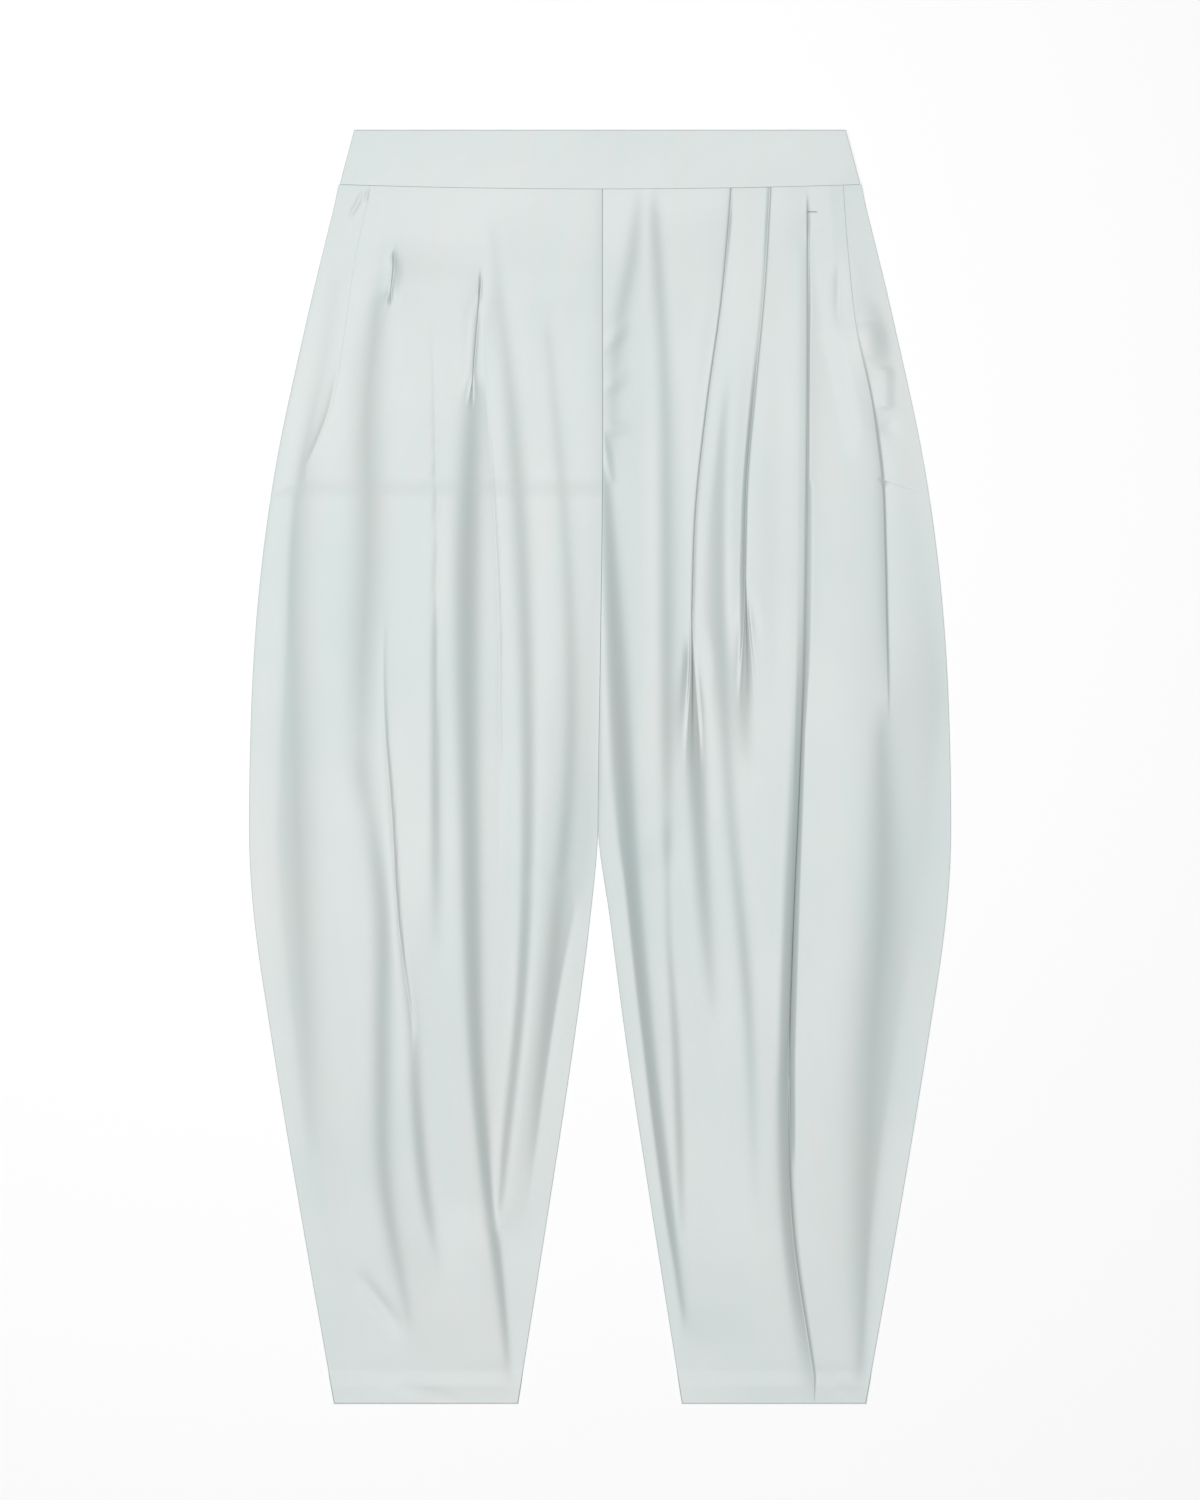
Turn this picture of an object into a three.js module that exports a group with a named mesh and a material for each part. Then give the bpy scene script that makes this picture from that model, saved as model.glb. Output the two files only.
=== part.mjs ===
// Balloon trousers laid flat, face up, in millimetres.
// +Z is up from the surface they lie on, +Y runs from the hems to the waist, and +X is the wearer's left.
// "down" is the distance below the top edge of the waistband, and "out" the distance from the centre line.
import * as THREE from "three";

// Cut and cloth
const LENGTH = 1000;
const HEM_TURN = 20;
const CLOTH = 1.1;
const BAND_CLOTH = 2.4;
const SEAM_GAP = 0.3;
const WAIST_SEAM = 43;
const WAIST_SAG = 3.5;
const CROTCH = 296;
const MOUTH_END = 272;
const MOUTH_RUN = 18;
const POCKET_TUCK = 10;

// How the cloth lies
const EDGE_RISE = 90;
const EDGE_ROLL = 7;
const SLOPE_REACH = 45;
const LAYER_PITCH = 1.5;
const STEP_RUN = 15;
const PLEAT_RELEASE = 130;
const RISE_HOLD = 0.9;
const RISE_HOLD_END = 620;
const BACK_TOP = CLOTH;
const REST_HEIGHT = BACK_TOP + SEAM_GAP + CLOTH / 2;
const POCKET_LIFT = CLOTH + SEAM_GAP;

// Outline at heights below the top edge: side seam, half of the gap between the legs, how far the middle
// leans to the wearer's left, and how high the front stands over the back
const OUTLINE = [
  { down: 0, side: 193, gap: 0, lean: 2, loft: 0.5 },
  { down: 47, side: 205.4, gap: 0, lean: 2, loft: 0.8 },
  { down: 150, side: 230.4, gap: 0, lean: 2, loft: 3.5 },
  { down: 275, side: 256.5, gap: 0, lean: 2, loft: 5.5 },
  { down: 400, side: 271, gap: 0, lean: 0.5, loft: 6.5 },
  { down: 548, side: 275.5, gap: 0, lean: -1.5, loft: 7 },
  { down: 620, side: 271.4, gap: 7.9, lean: 0, loft: 7 },
  { down: 715, side: 257.6, gap: 20.4, lean: 0, loft: 6.5 },
  { down: 840, side: 236.9, gap: 39.3, lean: 0, loft: 5 },
  { down: 1000, side: 208.7, gap: 64.6, lean: 0, loft: 1.5 },
];

// Each fold runs from one height to another, and "out" holds its place at five even steps on the way.
// "faces" says which way the visible edge of a pleat points. The cloth climbs a slope towards the side seam
// where its rise is positive. A crease has its own width on each side.
const RIGHT_LEG = {
  name: "right",
  side: -1,
  mouth: { from: 49, to: MOUTH_END, out: [181, 193, 201, 210.5, 232.5] },
  columns: [7, 6, 9],
  pleats: [
    { name: "outer tuck", faces: "out", from: 98, to: 146, out: [162.5, 163, 164, 165.5, 167],
      lap: 2.5, stand: 3.2, begins: 30, opens: 45 },
    { name: "inner tuck", faces: "in", from: 108, to: 205, out: [94, 95, 97, 99, 101],
      lap: 3, stand: 3.4, begins: 30, opens: 50 },
  ],
  slopes: [
    { name: "side slope", from: 120, to: 790, out: [216, 240, 240.5, 235.5, 225], wide: 25, rise: -2.6 },
    { name: "tuck slope", from: 128, to: 550, out: [172, 184, 184.5, 187, 188], wide: 27, rise: -4.6 },
    { name: "shin slope", from: 480, to: 935, out: [187, 170, 170, 168, 150], wide: 17, rise: -3.3 },
    { name: "calf slope", from: 620, to: 900, out: [155, 147, 144.5, 138, 126], wide: 13, rise: 2 },
    { name: "inner tuck slope", from: 150, to: 970, out: [97, 105, 103, 95, 70], wide: 16, rise: 5 },
    { name: "thigh slope", from: 80, to: 880, out: [85, 67.5, 57.5, 60.5, 80], wide: 12, rise: -2.8 },
    { name: "inseam slope", from: 160, to: 800, out: [41, 29, 22, 36, 54], wide: 13, rise: 1.9 },
  ],
  creases: [],
};
const LEFT_LEG = {
  name: "left",
  side: 1,
  mouth: { from: 45, to: MOUTH_END, out: [191, 195.5, 202, 214, 221] },
  columns: [7, 1, 4, 8],
  pleats: [
    { name: "outer pleat", faces: "out", from: 47, to: 420, out: [163, 163, 162, 161, 159.5],
      lap: 5, stand: 3.3, begins: 0, opens: 90 },
    { name: "middle pleat", faces: "in", from: 47, to: 350, out: [134, 129.5, 122.5, 116, 114],
      lap: 9, stand: 4.4, begins: 0, opens: 110 },
    { name: "inner pleat", faces: "out", from: 47, to: 380, out: [103, 95.5, 84, 75, 72],
      lap: 11, stand: 6, begins: 0, opens: 130 },
  ],
  slopes: [
    { name: "front slope", from: 60, to: 600, out: [42, 50, 52, 52.5, 53], wide: 18, rise: -3.1 },
    { name: "crotch slope", from: 262, to: 960, out: [4, 12.5, 19.5, 38, 62], wide: 12, rise: 5 },
    { name: "inner pleat slope", from: 390, to: 700, out: [72, 74.5, 78, 82.5, 88], wide: 10, rise: -4.6 },
    { name: "middle pleat slope", from: 360, to: 520, out: [114, 113.5, 113.2, 114, 116], wide: 10, rise: 3.2 },
    { name: "recess slope", from: 170, to: 860, out: [92, 93, 100, 115.5, 122], wide: 12, rise: 2.2 },
    { name: "side fold slope", from: 430, to: 990, out: [226, 224, 214, 209, 209], wide: 32, rise: -4.4 },
  ],
  creases: [
    { name: "long crease", from: 400, to: 990, out: [160, 154, 148.5, 149, 168], inner: 8, outer: 3, high: -4.4 },
    { name: "side crease", from: 250, to: 560, out: [218, 223.5, 224.5, 227, 229], inner: 14, outer: 3, high: -3 },
  ],
};

// Rows across a leg: a finer step where the tucks are short
const ROW_STEPS = [
  { to: 144, step: 16 },
  { to: MOUTH_END, step: 32 },
  { to: MOUTH_END + MOUTH_RUN, step: MOUTH_RUN },
  { to: LENGTH - HEM_TURN - 1, step: 38 },
];

const { clamp, lerp, smoothstep } = THREE.MathUtils;

// Smooth value of one column of a table whose rows are sorted by "down"
function read(rows, column, down) {
  const last = rows.length - 1;
  let i = 0;
  while (i < last - 1 && down > rows[i + 1].down) i += 1;
  const slope = (k) => {
    const before = rows[Math.max(k - 1, 0)];
    const after = rows[Math.min(k + 1, last)];
    return (after[column] - before[column]) / (after.down - before.down);
  };
  const span = rows[i + 1].down - rows[i].down;
  const t = clamp((down - rows[i].down) / span, 0, 1);
  const ease = t * t * (3 - 2 * t);
  const bend = slope(i) * t * (1 - t) * (1 - t) - slope(i + 1) * t * t * (1 - t);
  return lerp(rows[i][column], rows[i + 1][column], ease) + bend * span;
}

// Place of a fold or a pocket mouth, from its five even steps
function placeOf(line, down) {
  const step = (line.to - line.from) / (line.out.length - 1);
  const rows = line.out.map((out, k) => ({ down: line.from + k * step, out }));
  return read(rows, "out", down);
}

// The waist seam sags a little towards the middle
function waistSeam(x) {
  return WAIST_SEAM + WAIST_SAG * (1 - (x / OUTLINE[1].side) ** 2);
}

function sideSeam(down) {
  return read(OUTLINE, "side", down);
}

// Inner edge of a leg: the centre seam, then the inseam
function innerEdge(leg, down) {
  const gap = Math.max(read(OUTLINE, "gap", down), 0);
  return leg.side * read(OUTLINE, "lean", down) + gap + SEAM_GAP / 2;
}

// Outer edge of a front: the slanted pocket mouth, then the side seam
function frontEdge(leg, down) {
  const closed = smoothstep(down, MOUTH_END, MOUTH_END + MOUTH_RUN);
  return lerp(placeOf(leg.mouth, down), sideSeam(down), closed);
}

// How much of a fold is there at a height, from 0 to 1
function presence(fold, down) {
  const fade = (fold.to - fold.from) / 5;
  return smoothstep(down, fold.from, fold.from + fade) * (1 - smoothstep(down, fold.to - fade, fold.to));
}

// Step from one level to another, which dies away on both sides
function slopeHeight(slope, out, down) {
  const away = out - placeOf(slope, down);
  const step = Math.tanh(2 * away / slope.wide) * Math.exp(-Math.abs(away) / SLOPE_REACH);
  return slope.rise / 2 * presence(slope, down) * step;
}

function creaseHeight(crease, out, down) {
  const away = out - placeOf(crease, down);
  const wide = away > 0 ? crease.outer : crease.inner;
  return crease.high * presence(crease, down) * Math.exp(-Math.abs(away) / wide);
}

// How far a pleat is pressed shut at a height, from 0 to 1
function shut(pleat, down) {
  const start = pleat.begins ? smoothstep(down, pleat.from, pleat.from + pleat.begins) : 1;
  return start * (1 - smoothstep(down, pleat.to, pleat.to + pleat.opens));
}

// Width of cloth that a pleat hides at a height
function lapOf(pleat, down) {
  const start = pleat.begins ? smoothstep(down, pleat.from, pleat.from + 2 * pleat.begins) : 1;
  return pleat.lap * start * (1 - smoothstep(down, lerp(pleat.from, pleat.to, 0.4), pleat.to + pleat.opens / 2));
}

function legWidth(leg, down) {
  return sideSeam(down) - innerEdge(leg, down);
}

// A pleat's edge follows its own line, and past its ends it keeps its share of the leg's width
function pleatPlace(leg, pleat, down) {
  const held = clamp(down, pleat.from, pleat.to);
  const share = (sideSeam(held) - placeOf(pleat, held)) / legWidth(leg, held);
  return sideSeam(down) - share * legWidth(leg, down);
}

function topSide(pleat) {
  return pleat.faces === "in" ? 1 : -1;
}

// How high a pleat's top layer stands over the layer below: pressed flat in the waist seam, and more further down
function standOf(pleat, down) {
  const free = smoothstep(down, WAIST_SEAM, WAIST_SEAM + PLEAT_RELEASE);
  return lerp(2 * LAYER_PITCH, pleat.stand, free);
}

// Lowest middle height that a front may have: on the back panel, or on the pocket's side piece
function lowest(leg, out, down) {
  const mouth = placeOf(leg.mouth, down);
  const under = smoothstep(out, mouth - 3 * POCKET_TUCK, mouth - 1.5 * POCKET_TUCK);
  const above = 1 - smoothstep(down, MOUTH_END + 2 * MOUTH_RUN, MOUTH_END + 4 * MOUTH_RUN);
  const hem = smoothstep(down, LENGTH - 2 * HEM_TURN, LENGTH - HEM_TURN - 1);
  return REST_HEIGHT + POCKET_LIFT * under * above + CLOTH * hem;
}

// Height of the middle of a front's cloth, with its folds but without the layers inside a pleat
function height(leg, out, down, left = null) {
  const fromSide = Math.max(frontEdge(leg, down) - out, 0);
  const fromInseam = Math.max(out - innerEdge(leg, down), 0);
  const hold = RISE_HOLD * (1 - smoothstep(down, 0.6 * CROTCH, RISE_HOLD_END));
  const rounded = (run) => (1 - Math.exp(-fromSide / run)) * (1 - (1 - hold) * Math.exp(-fromInseam / run));
  let rise = 0;
  for (const slope of leg.slopes) rise += slopeHeight(slope, out, down);
  for (const crease of leg.creases) rise += creaseHeight(crease, out, down);
  for (const pleat of leg.pleats) {
    if (pleat === left) continue;
    const away = (out - pleatPlace(leg, pleat, down)) * topSide(pleat);
    const past = away > 0 ? Math.max(away - lapOf(pleat, down), 0) : away;
    rise += Math.sign(away) * standOf(pleat, down) / 2 * shut(pleat, down) * Math.exp(-((past / STEP_RUN) ** 2));
  }
  const roll = rounded(EDGE_ROLL);
  const wanted = read(OUTLINE, "loft", down) * rounded(EDGE_RISE) + rise * roll;
  const settled = wanted > 1 ? wanted : Math.exp(wanted - 1);
  return lowest(leg, out, down) + settled * roll;
}

// Section points of one pleat, from its top layer, round its visible edge and its hidden turn, to the
// layer below. As the pleat opens they spread into a plain soft step.
function pleatPoints(leg, pleat, down) {
  const edge = pleatPlace(leg, pleat, down);
  const towards = topSide(pleat);
  const lap = lapOf(pleat, down);
  const turn = Math.min(1, lap / 2);
  const closed = shut(pleat, down);
  const narrow = legWidth(leg, down) / legWidth(leg, pleat.to);
  const floor = lowest(leg, edge, down);
  const stand = standOf(pleat, down);
  const bottom = Math.max(height(leg, edge, down, pleat) - stand / 2, floor);
  const top = bottom + stand;
  const layers = [
    { shutAt: lap + 5, openAt: 12, z: null },
    { shutAt: lap + 1, openAt: 8, z: bottom + 2 * LAYER_PITCH, atLeast: true },
    { shutAt: turn, openAt: 5, z: top },
    { shutAt: 0, openAt: 3, z: top - LAYER_PITCH / 2 },
    { shutAt: turn, openAt: 1, z: top - LAYER_PITCH },
    { shutAt: lap - turn, openAt: -1, z: bottom + LAYER_PITCH },
    { shutAt: lap, openAt: -3, z: bottom + LAYER_PITCH / 2 },
    { shutAt: lap - turn, openAt: -5, z: bottom },
    { shutAt: -6, openAt: -9, z: null },
  ];
  const points = layers.map((layer) => {
    const out = edge + towards * lerp(layer.openAt * narrow, layer.shutAt, closed);
    const open = height(leg, out, down);
    const pressed = layer.atLeast ? Math.max(layer.z, open) : layer.z;
    return { out, z: layer.z === null ? open : lerp(open, pressed, closed) };
  });
  return pleat.faces === "in" ? points : points.reverse();
}

// Points between two places, closer together where folds are
function spread(leg, down, start, end, count) {
  const samples = 60;
  const sums = [0];
  for (let i = 0; i < samples; i += 1) {
    const out = lerp(start, end, (i + 0.5) / samples);
    let density = 1;
    for (const slope of leg.slopes) {
      const away = (out - placeOf(slope, down)) / (0.7 * slope.wide);
      density += 0.5 * Math.abs(slope.rise) * presence(slope, down) * Math.exp(-away * away);
    }
    for (const crease of leg.creases) {
      const away = (out - placeOf(crease, down)) / crease.inner;
      density += 0.6 * Math.abs(crease.high) * presence(crease, down) * Math.exp(-away * away);
    }
    sums.push(sums[i] + density);
  }
  const points = [];
  for (let k = 1; k <= count; k += 1) {
    const wanted = sums[samples] * k / (count + 1);
    const i = sums.findIndex((sum) => sum > wanted) - 1;
    const part = (wanted - sums[i]) / (sums[i + 1] - sums[i]);
    const out = lerp(start, end, (i + part) / samples);
    points.push({ out, z: height(leg, out, down) });
  }
  return points;
}

// One section of a front, from its outer edge to its inner edge
function frontSection(leg, down) {
  const outer = frontEdge(leg, down);
  const inner = innerEdge(leg, down);
  const section = [{ out: outer, z: height(leg, outer, down) }];
  leg.pleats.forEach((pleat, k) => {
    const points = pleatPoints(leg, pleat, down);
    section.push(...spread(leg, down, section.at(-1).out, points[0].out, leg.columns[k]), ...points);
  });
  section.push(...spread(leg, down, section.at(-1).out, inner, leg.columns.at(-1)));
  section.push({ out: inner, z: height(leg, inner, down) });
  return section;
}

// Heights of a leg's rows, with a close pair where the hem's turned-up cloth begins
function legRows() {
  const rows = [WAIST_SEAM + WAIST_SAG];
  for (const { to, step } of ROW_STEPS) {
    const start = rows.at(-1);
    const count = Math.round((to - start) / step);
    for (let k = 1; k <= count; k += 1) rows.push(lerp(start, to, k / count));
  }
  return [...rows, LENGTH - HEM_TURN + 1, LENGTH];
}

// Direction of a line of points at one of them, even where its neighbours are at very unlike distances
function direction(before, here, after) {
  const arriving = new THREE.Vector3().subVectors(here, before).normalize();
  const leaving = new THREE.Vector3().subVectors(after, here).normalize();
  return arriving.add(leaving);
}

// A wall of cloth from rows of middle points that run along +X, each row further down than the last.
// Its edges are upright, so that neighbours keep their gap.
function wall(rows, thickness) {
  const columns = rows[0].length;
  const [upper, lower] = [[], []];
  rows.forEach((row, i) => {
    row.forEach((point, j) => {
      const along = direction(row[Math.max(j - 1, 0)], point, row[Math.min(j + 1, columns - 1)]);
      const above = rows[Math.max(i - 1, 0)][j];
      const below = rows[Math.min(i + 1, rows.length - 1)][j];
      const normal = direction(above, point, below).cross(along).normalize();
      if (j === 0 || j === columns - 1) normal.x = 0;
      if (i === 0 || i === rows.length - 1) normal.y = 0;
      normal.normalize().multiplyScalar(thickness(i) / 2);
      upper.push(point.clone().add(normal));
      lower.push(point.clone().sub(normal));
    });
  });
  return closedSheet(upper, lower, rows.length, columns);
}

// Joins an upper and a lower grid of points into one closed body
function closedSheet(upper, lower, rowCount, columns) {
  const under = upper.length;
  const faces = [];
  const quad = (a, b, c, d) => faces.push(a, b, c, a, c, d);
  const at = (i, j) => i * columns + j;
  for (let i = 0; i < rowCount - 1; i += 1) {
    for (let j = 0; j < columns - 1; j += 1) {
      const corners = [at(i, j), at(i + 1, j), at(i + 1, j + 1), at(i, j + 1)];
      quad(...corners);
      quad(...corners.map((k) => k + under).reverse());
    }
    const end = columns - 1;
    quad(at(i, 0), at(i, 0) + under, at(i + 1, 0) + under, at(i + 1, 0));
    quad(at(i + 1, end), at(i + 1, end) + under, at(i, end) + under, at(i, end));
  }
  for (let j = 0; j < columns - 1; j += 1) {
    const end = rowCount - 1;
    quad(at(0, j + 1), at(0, j + 1) + under, at(0, j) + under, at(0, j));
    quad(at(end, j), at(end, j) + under, at(end, j + 1) + under, at(end, j + 1));
  }
  const geometry = new THREE.BufferGeometry();
  const numbers = [...upper, ...lower].flatMap((point) => [point.x, point.y, point.z]);
  geometry.setAttribute("position", new THREE.Float32BufferAttribute(numbers, 3));
  geometry.setIndex(faces);
  geometry.computeVertexNormals();
  return geometry;
}

// Row of points in the frame, sorted along +X. The first row of a panel follows the waist seam.
function place(leg, section, down, atWaist) {
  const row = section.map(({ out, z }) => {
    const x = leg.side * out;
    const below = atWaist ? waistSeam(x) + SEAM_GAP : down;
    return new THREE.Vector3(x, LENGTH / 2 - below, z);
  });
  return leg.side > 0 ? row.reverse() : row;
}

function hemThickness(rows) {
  return (i) => (rows[i] > LENGTH - HEM_TURN ? 2 * CLOTH : CLOTH);
}

// A front stands over the back in folds, and its hem is turned up inside
function frontLeg(leg) {
  const rows = legRows();
  const points = rows.map((down, i) => place(leg, frontSection(leg, down), down, i === 0));
  rows.forEach((down, i) => {
    if (down > LENGTH - HEM_TURN) points[i].forEach((point) => { point.z += CLOTH / 2; });
  });
  return wall(points, hemThickness(rows));
}

// A back lies flat on the surface
function backLeg(leg) {
  const columns = 10;
  const rows = legRows().filter((down, i, all) => i % 2 === 0 || down > LENGTH - 3 * HEM_TURN || i > all.length - 4);
  const thickness = hemThickness(rows);
  const points = rows.map((down, i) => {
    const section = Array.from({ length: columns }, (_, k) => ({
      out: lerp(sideSeam(down), innerEdge(leg, down), k / (columns - 1)),
      z: thickness(i) / 2,
    }));
    return place(leg, section, down, i === 0);
  });
  return wall(points, thickness);
}

// The pocket's side piece lies on the back and goes under the front's mouth edge
function pocketSide(leg) {
  const columns = 5;
  const steps = 9;
  const rows = Array.from({ length: steps }, (_, k) => lerp(WAIST_SEAM + WAIST_SAG, MOUTH_END + MOUTH_RUN, k / (steps - 1)));
  const points = rows.map((down, i) => {
    const inner = placeOf(leg.mouth, down) - POCKET_TUCK;
    const section = Array.from({ length: columns }, (_, k) => ({
      out: lerp(sideSeam(down), inner, k / (columns - 1)),
      z: REST_HEIGHT,
    }));
    return place(leg, section, down, i === 0);
  });
  return wall(points, () => CLOTH);
}

// Half of the waistband, from side seam to side seam, at its own height
function waistband(z) {
  const columns = 17;
  const rows = [0, 0.5, 1].map((part) => Array.from({ length: columns }, (_, k) => {
    const across = lerp(-1, 1, k / (columns - 1));
    const x = across * sideSeam(part * WAIST_SEAM);
    return new THREE.Vector3(x, LENGTH / 2 - part * waistSeam(x), z);
  }));
  return wall(rows, () => BAND_CLOTH);
}

const trousers = new THREE.Group();

function addPiece(name, geometry, color) {
  const material = new THREE.MeshStandardMaterial({ color, roughness: 0.55, metalness: 0 });
  const piece = new THREE.Mesh(geometry, material);
  piece.name = name;
  trousers.add(piece);
}

addPiece("waistband_back", waistband(BAND_CLOTH / 2), "#d3dcd9");
addPiece("waistband_front", waistband(1.5 * BAND_CLOTH + SEAM_GAP), "#dbe3e1");
for (const leg of [RIGHT_LEG, LEFT_LEG]) {
  addPiece(`back_leg_${leg.name}`, backLeg(leg), "#cfd8d5");
  addPiece(`front_leg_${leg.name}`, frontLeg(leg), "#dce5e3");
  addPiece(`pocket_side_${leg.name}`, pocketSide(leg), "#d6dfdc");
}

export default trousers;
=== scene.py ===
# %% [markdown]
# # Balloon trousers, laid flat
#
# The object is one pair of pleated trousers in pale mint-grey satin-backed crepe, laid face up on a pale
# floor and seen from straight above. The rigid model gives the cut pieces at their real size. This lesson
# lays a thin, softly folded cloth over each of them, gives the cloth its weave and sheen, and lights it
# like a flat-lay photograph.
#
# Heights along the garment are measured "down" from the top edge of the waistband, and places across it are
# measured "out" from the centre line, both in millimetres. Meshes are in metres, with +Y to the waist and
# +X to the wearer's left.

import math
from collections import namedtuple

import bpy
import numpy as np
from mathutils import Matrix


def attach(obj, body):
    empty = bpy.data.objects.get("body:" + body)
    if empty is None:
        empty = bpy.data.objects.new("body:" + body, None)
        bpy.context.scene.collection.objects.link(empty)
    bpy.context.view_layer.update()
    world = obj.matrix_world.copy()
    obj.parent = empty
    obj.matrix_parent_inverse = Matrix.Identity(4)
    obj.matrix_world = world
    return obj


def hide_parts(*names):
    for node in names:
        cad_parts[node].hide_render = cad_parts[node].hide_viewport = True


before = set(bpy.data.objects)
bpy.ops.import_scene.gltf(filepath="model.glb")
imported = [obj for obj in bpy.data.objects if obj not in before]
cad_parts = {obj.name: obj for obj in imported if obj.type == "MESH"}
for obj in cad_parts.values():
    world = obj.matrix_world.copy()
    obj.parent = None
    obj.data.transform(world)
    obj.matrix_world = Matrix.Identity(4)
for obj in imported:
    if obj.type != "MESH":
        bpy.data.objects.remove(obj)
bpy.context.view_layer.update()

# %% [markdown]
# ## Sizes of the cut
#
# These are the maker's own sizes. The cloth here is thinner than the rigid walls, because real crepe is.
# The outline is a short table: at each height it holds the side seam, half of the gap between the legs, how
# far the middle leans to the wearer's left, and how high the front stands over the back.

# %% Driving sizes, in millimetres
MM = 0.001
LENGTH = 1000.0
HEM_TURN = 20.0
CLOTH = 0.7
BAND_CLOTH = 1.6
SEAM_GAP = 0.05
WAIST_SEAM = 43.0
WAIST_SAG = 3.5
CROTCH = 296.0
MOUTH_END = 272.0
MOUTH_RUN = 18.0
POCKET_TUCK = 10.0
REST_HEIGHT = 1.5 * CLOTH

Level = namedtuple("Level", "down side gap lean loft")
OUTLINE = [
    Level(0, 193.0, 0, 2.0, 0.5),
    Level(47, 205.4, 0, 2.0, 1.5),
    Level(150, 230.4, 0, 2.0, 3.4),
    Level(275, 256.5, 0, 2.0, 5.2),
    Level(400, 271.0, 0, 0.5, 6.4),
    Level(548, 275.5, 0, -1.5, 7.0),
    Level(620, 271.4, 7.9, 0.0, 7.0),
    Level(715, 257.6, 20.4, 0.0, 6.5),
    Level(840, 236.9, 39.3, 0.0, 5.0),
    Level(1000, 208.7, 64.6, 0.0, 1.5),
]


def curve(stations, values, at):
    """Smooth curve through a few values, flat beyond its two ends."""
    stations, values = np.asarray(stations, float), np.asarray(values, float)
    last = len(stations) - 1
    before, after = np.maximum(np.arange(last + 1) - 1, 0), np.minimum(np.arange(last + 1) + 1, last)
    slope = (values[after] - values[before]) / (stations[after] - stations[before])
    k = np.clip(np.searchsorted(stations, at, side="left") - 1, 0, last - 1)
    span = stations[k + 1] - stations[k]
    t = np.clip((at - stations[k]) / span, 0, 1)
    ease = t * t * (3 - 2 * t)
    bend = slope[k] * t * (1 - t) ** 2 - slope[k + 1] * t * t * (1 - t)
    return values[k] + (values[k + 1] - values[k]) * ease + bend * span


def smoothstep(low, high, at):
    t = np.clip((at - low) / (high - low), 0, 1)
    return t * t * (3 - 2 * t)


def lerp(a, b, t):
    return a + (b - a) * t


def level(column, down):
    """One column of the outline's table at a height."""
    return curve([row.down for row in OUTLINE], [getattr(row, column) for row in OUTLINE], down)


def side_seam(down):
    return level("side", down)


def waist_seam(x):
    """The waist seam sags a little towards the middle."""
    return WAIST_SEAM + WAIST_SAG * (1 - (x / OUTLINE[1].side) ** 2)


print("flat waist", 2 * side_seam(0.0), "mm, widest", 2 * side_seam(548.0), "mm")

# %% [markdown]
# ## Folds
#
# What makes these trousers is how the cloth falls: three knife pleats open from the waist on one leg, two
# stitched tucks let out their fullness on the other, and long soft folds run to the hems. Simulating them
# would give other folds than the ones wanted, so each is given as one row of a table. It runs
# from one height to another, with its places across the leg at even steps on the way.
#
# A slope is where the cloth climbs from one level to another. Its rise is positive where the side towards
# the side seam is higher. A crease is a valley, or a ridge where its height is positive, whose two sides
# may differ in width. "blunt" rounds its middle. A wrinkle is a short crease along a straight line.
#
# A pleat's visible edge follows "out" between the two heights of "line". It is closed between the two
# heights of "shut", after setting in over "begins", and lets go over "opens". "lap" is the cloth that it
# hides, "stand" is the height of its top layer over the layer below, and "gape" is how much deeper that
# layer drops beside the edge. The cloth levels out over the two "runs", first on the top layer's side.
# "turn" is how round the folds inside are, and "spacing" is how far apart the points of its path lie once
# it has opened.
#
# A leg's "mouth" is the line of its pocket, and "flush" is how far the side piece beyond it is sunk, where
# 1 leaves no ledge. "columns" counts the points between its pleats, and "droop" is how far the inseam's
# edge sinks.

# %% Fold and pleat tables, in millimetres
Slope = namedtuple("Slope", "name start end out rise wide")
Crease = namedtuple("Crease", "name start end out high outer inner blunt")
Wrinkle = namedtuple("Wrinkle", "name start end high wide")
Pleat = namedtuple("Pleat", "name faces line out shut begins opens lap stand gape runs turn spacing")
Leg = namedtuple("Leg", "name side mouth flush pleats slopes creases wrinkles columns droop")

RIGHT_MOUTH = (49, (181, 193, 201, 210.5, 232.5))
RIGHT_PLEATS = [
    Pleat("outer tuck", "out", (98, 146), (162.5, 163, 164, 165.5, 167),
          (94, 126), 18, 10, 1.3, 1.2, 0.0, (5, 9), 0.4, 0.3),
    Pleat("inner tuck", "in", (108, 205), (94, 95, 97, 99, 101),
          (108, 192), 40, 26, 2.5, 1.6, 0.0, (8, 10), 0.4, 0.3),
]
RIGHT_SLOPES = [
    Slope("side", 115, 790, (215, 241, 240, 235, 226), (-2.8, -5.2, -4.8, -3.4, -0.8), (32, 48, 50, 42, 26)),
    Slope("tuck", 108, 520, (171, 182, 182, 186, 188), (-1.8, -5.6, -6.4, -5.4, -1.4), (16, 45, 52, 46, 34)),
    Slope("shin", 500, 935, (186, 171, 171, 169, 150), (-1.0, -3.2, -3.0, -2.2, -0.8), (24, 22, 20, 17, 12)),
    Slope("knee", 345, 640, (131, 129.5, 129.5, 129, 129), (0, 0.8, 1.5, 1.5, 0.6), (6, 7, 8, 10, 12)),
    Slope("calf", 620, 900, (155, 147, 144.5, 138, 126), (0.3, 1.0, 2.0, 2.0, 0.3), (14, 14, 13, 13, 13)),
    Slope("inner tuck", 130, 970, (96, 104.3, 102.2, 95, 70), (0.8, 5.2, 3.9, 2.8, 1.4), (18, 27, 19, 11, 11)),
    Slope("thigh", 80, 850, (84, 65, 57, 60.5, 80), (-0.9, -2.6, -2.9, -2.7, -1.6), (16, 22, 17, 11, 10)),
    Slope("inseam", 160, 800, (41, 27, 23, 36, 52), (0.6, 1.0, 1.1, 1.3, 0.4), (12, 14, 13, 12, 14)),
]
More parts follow.
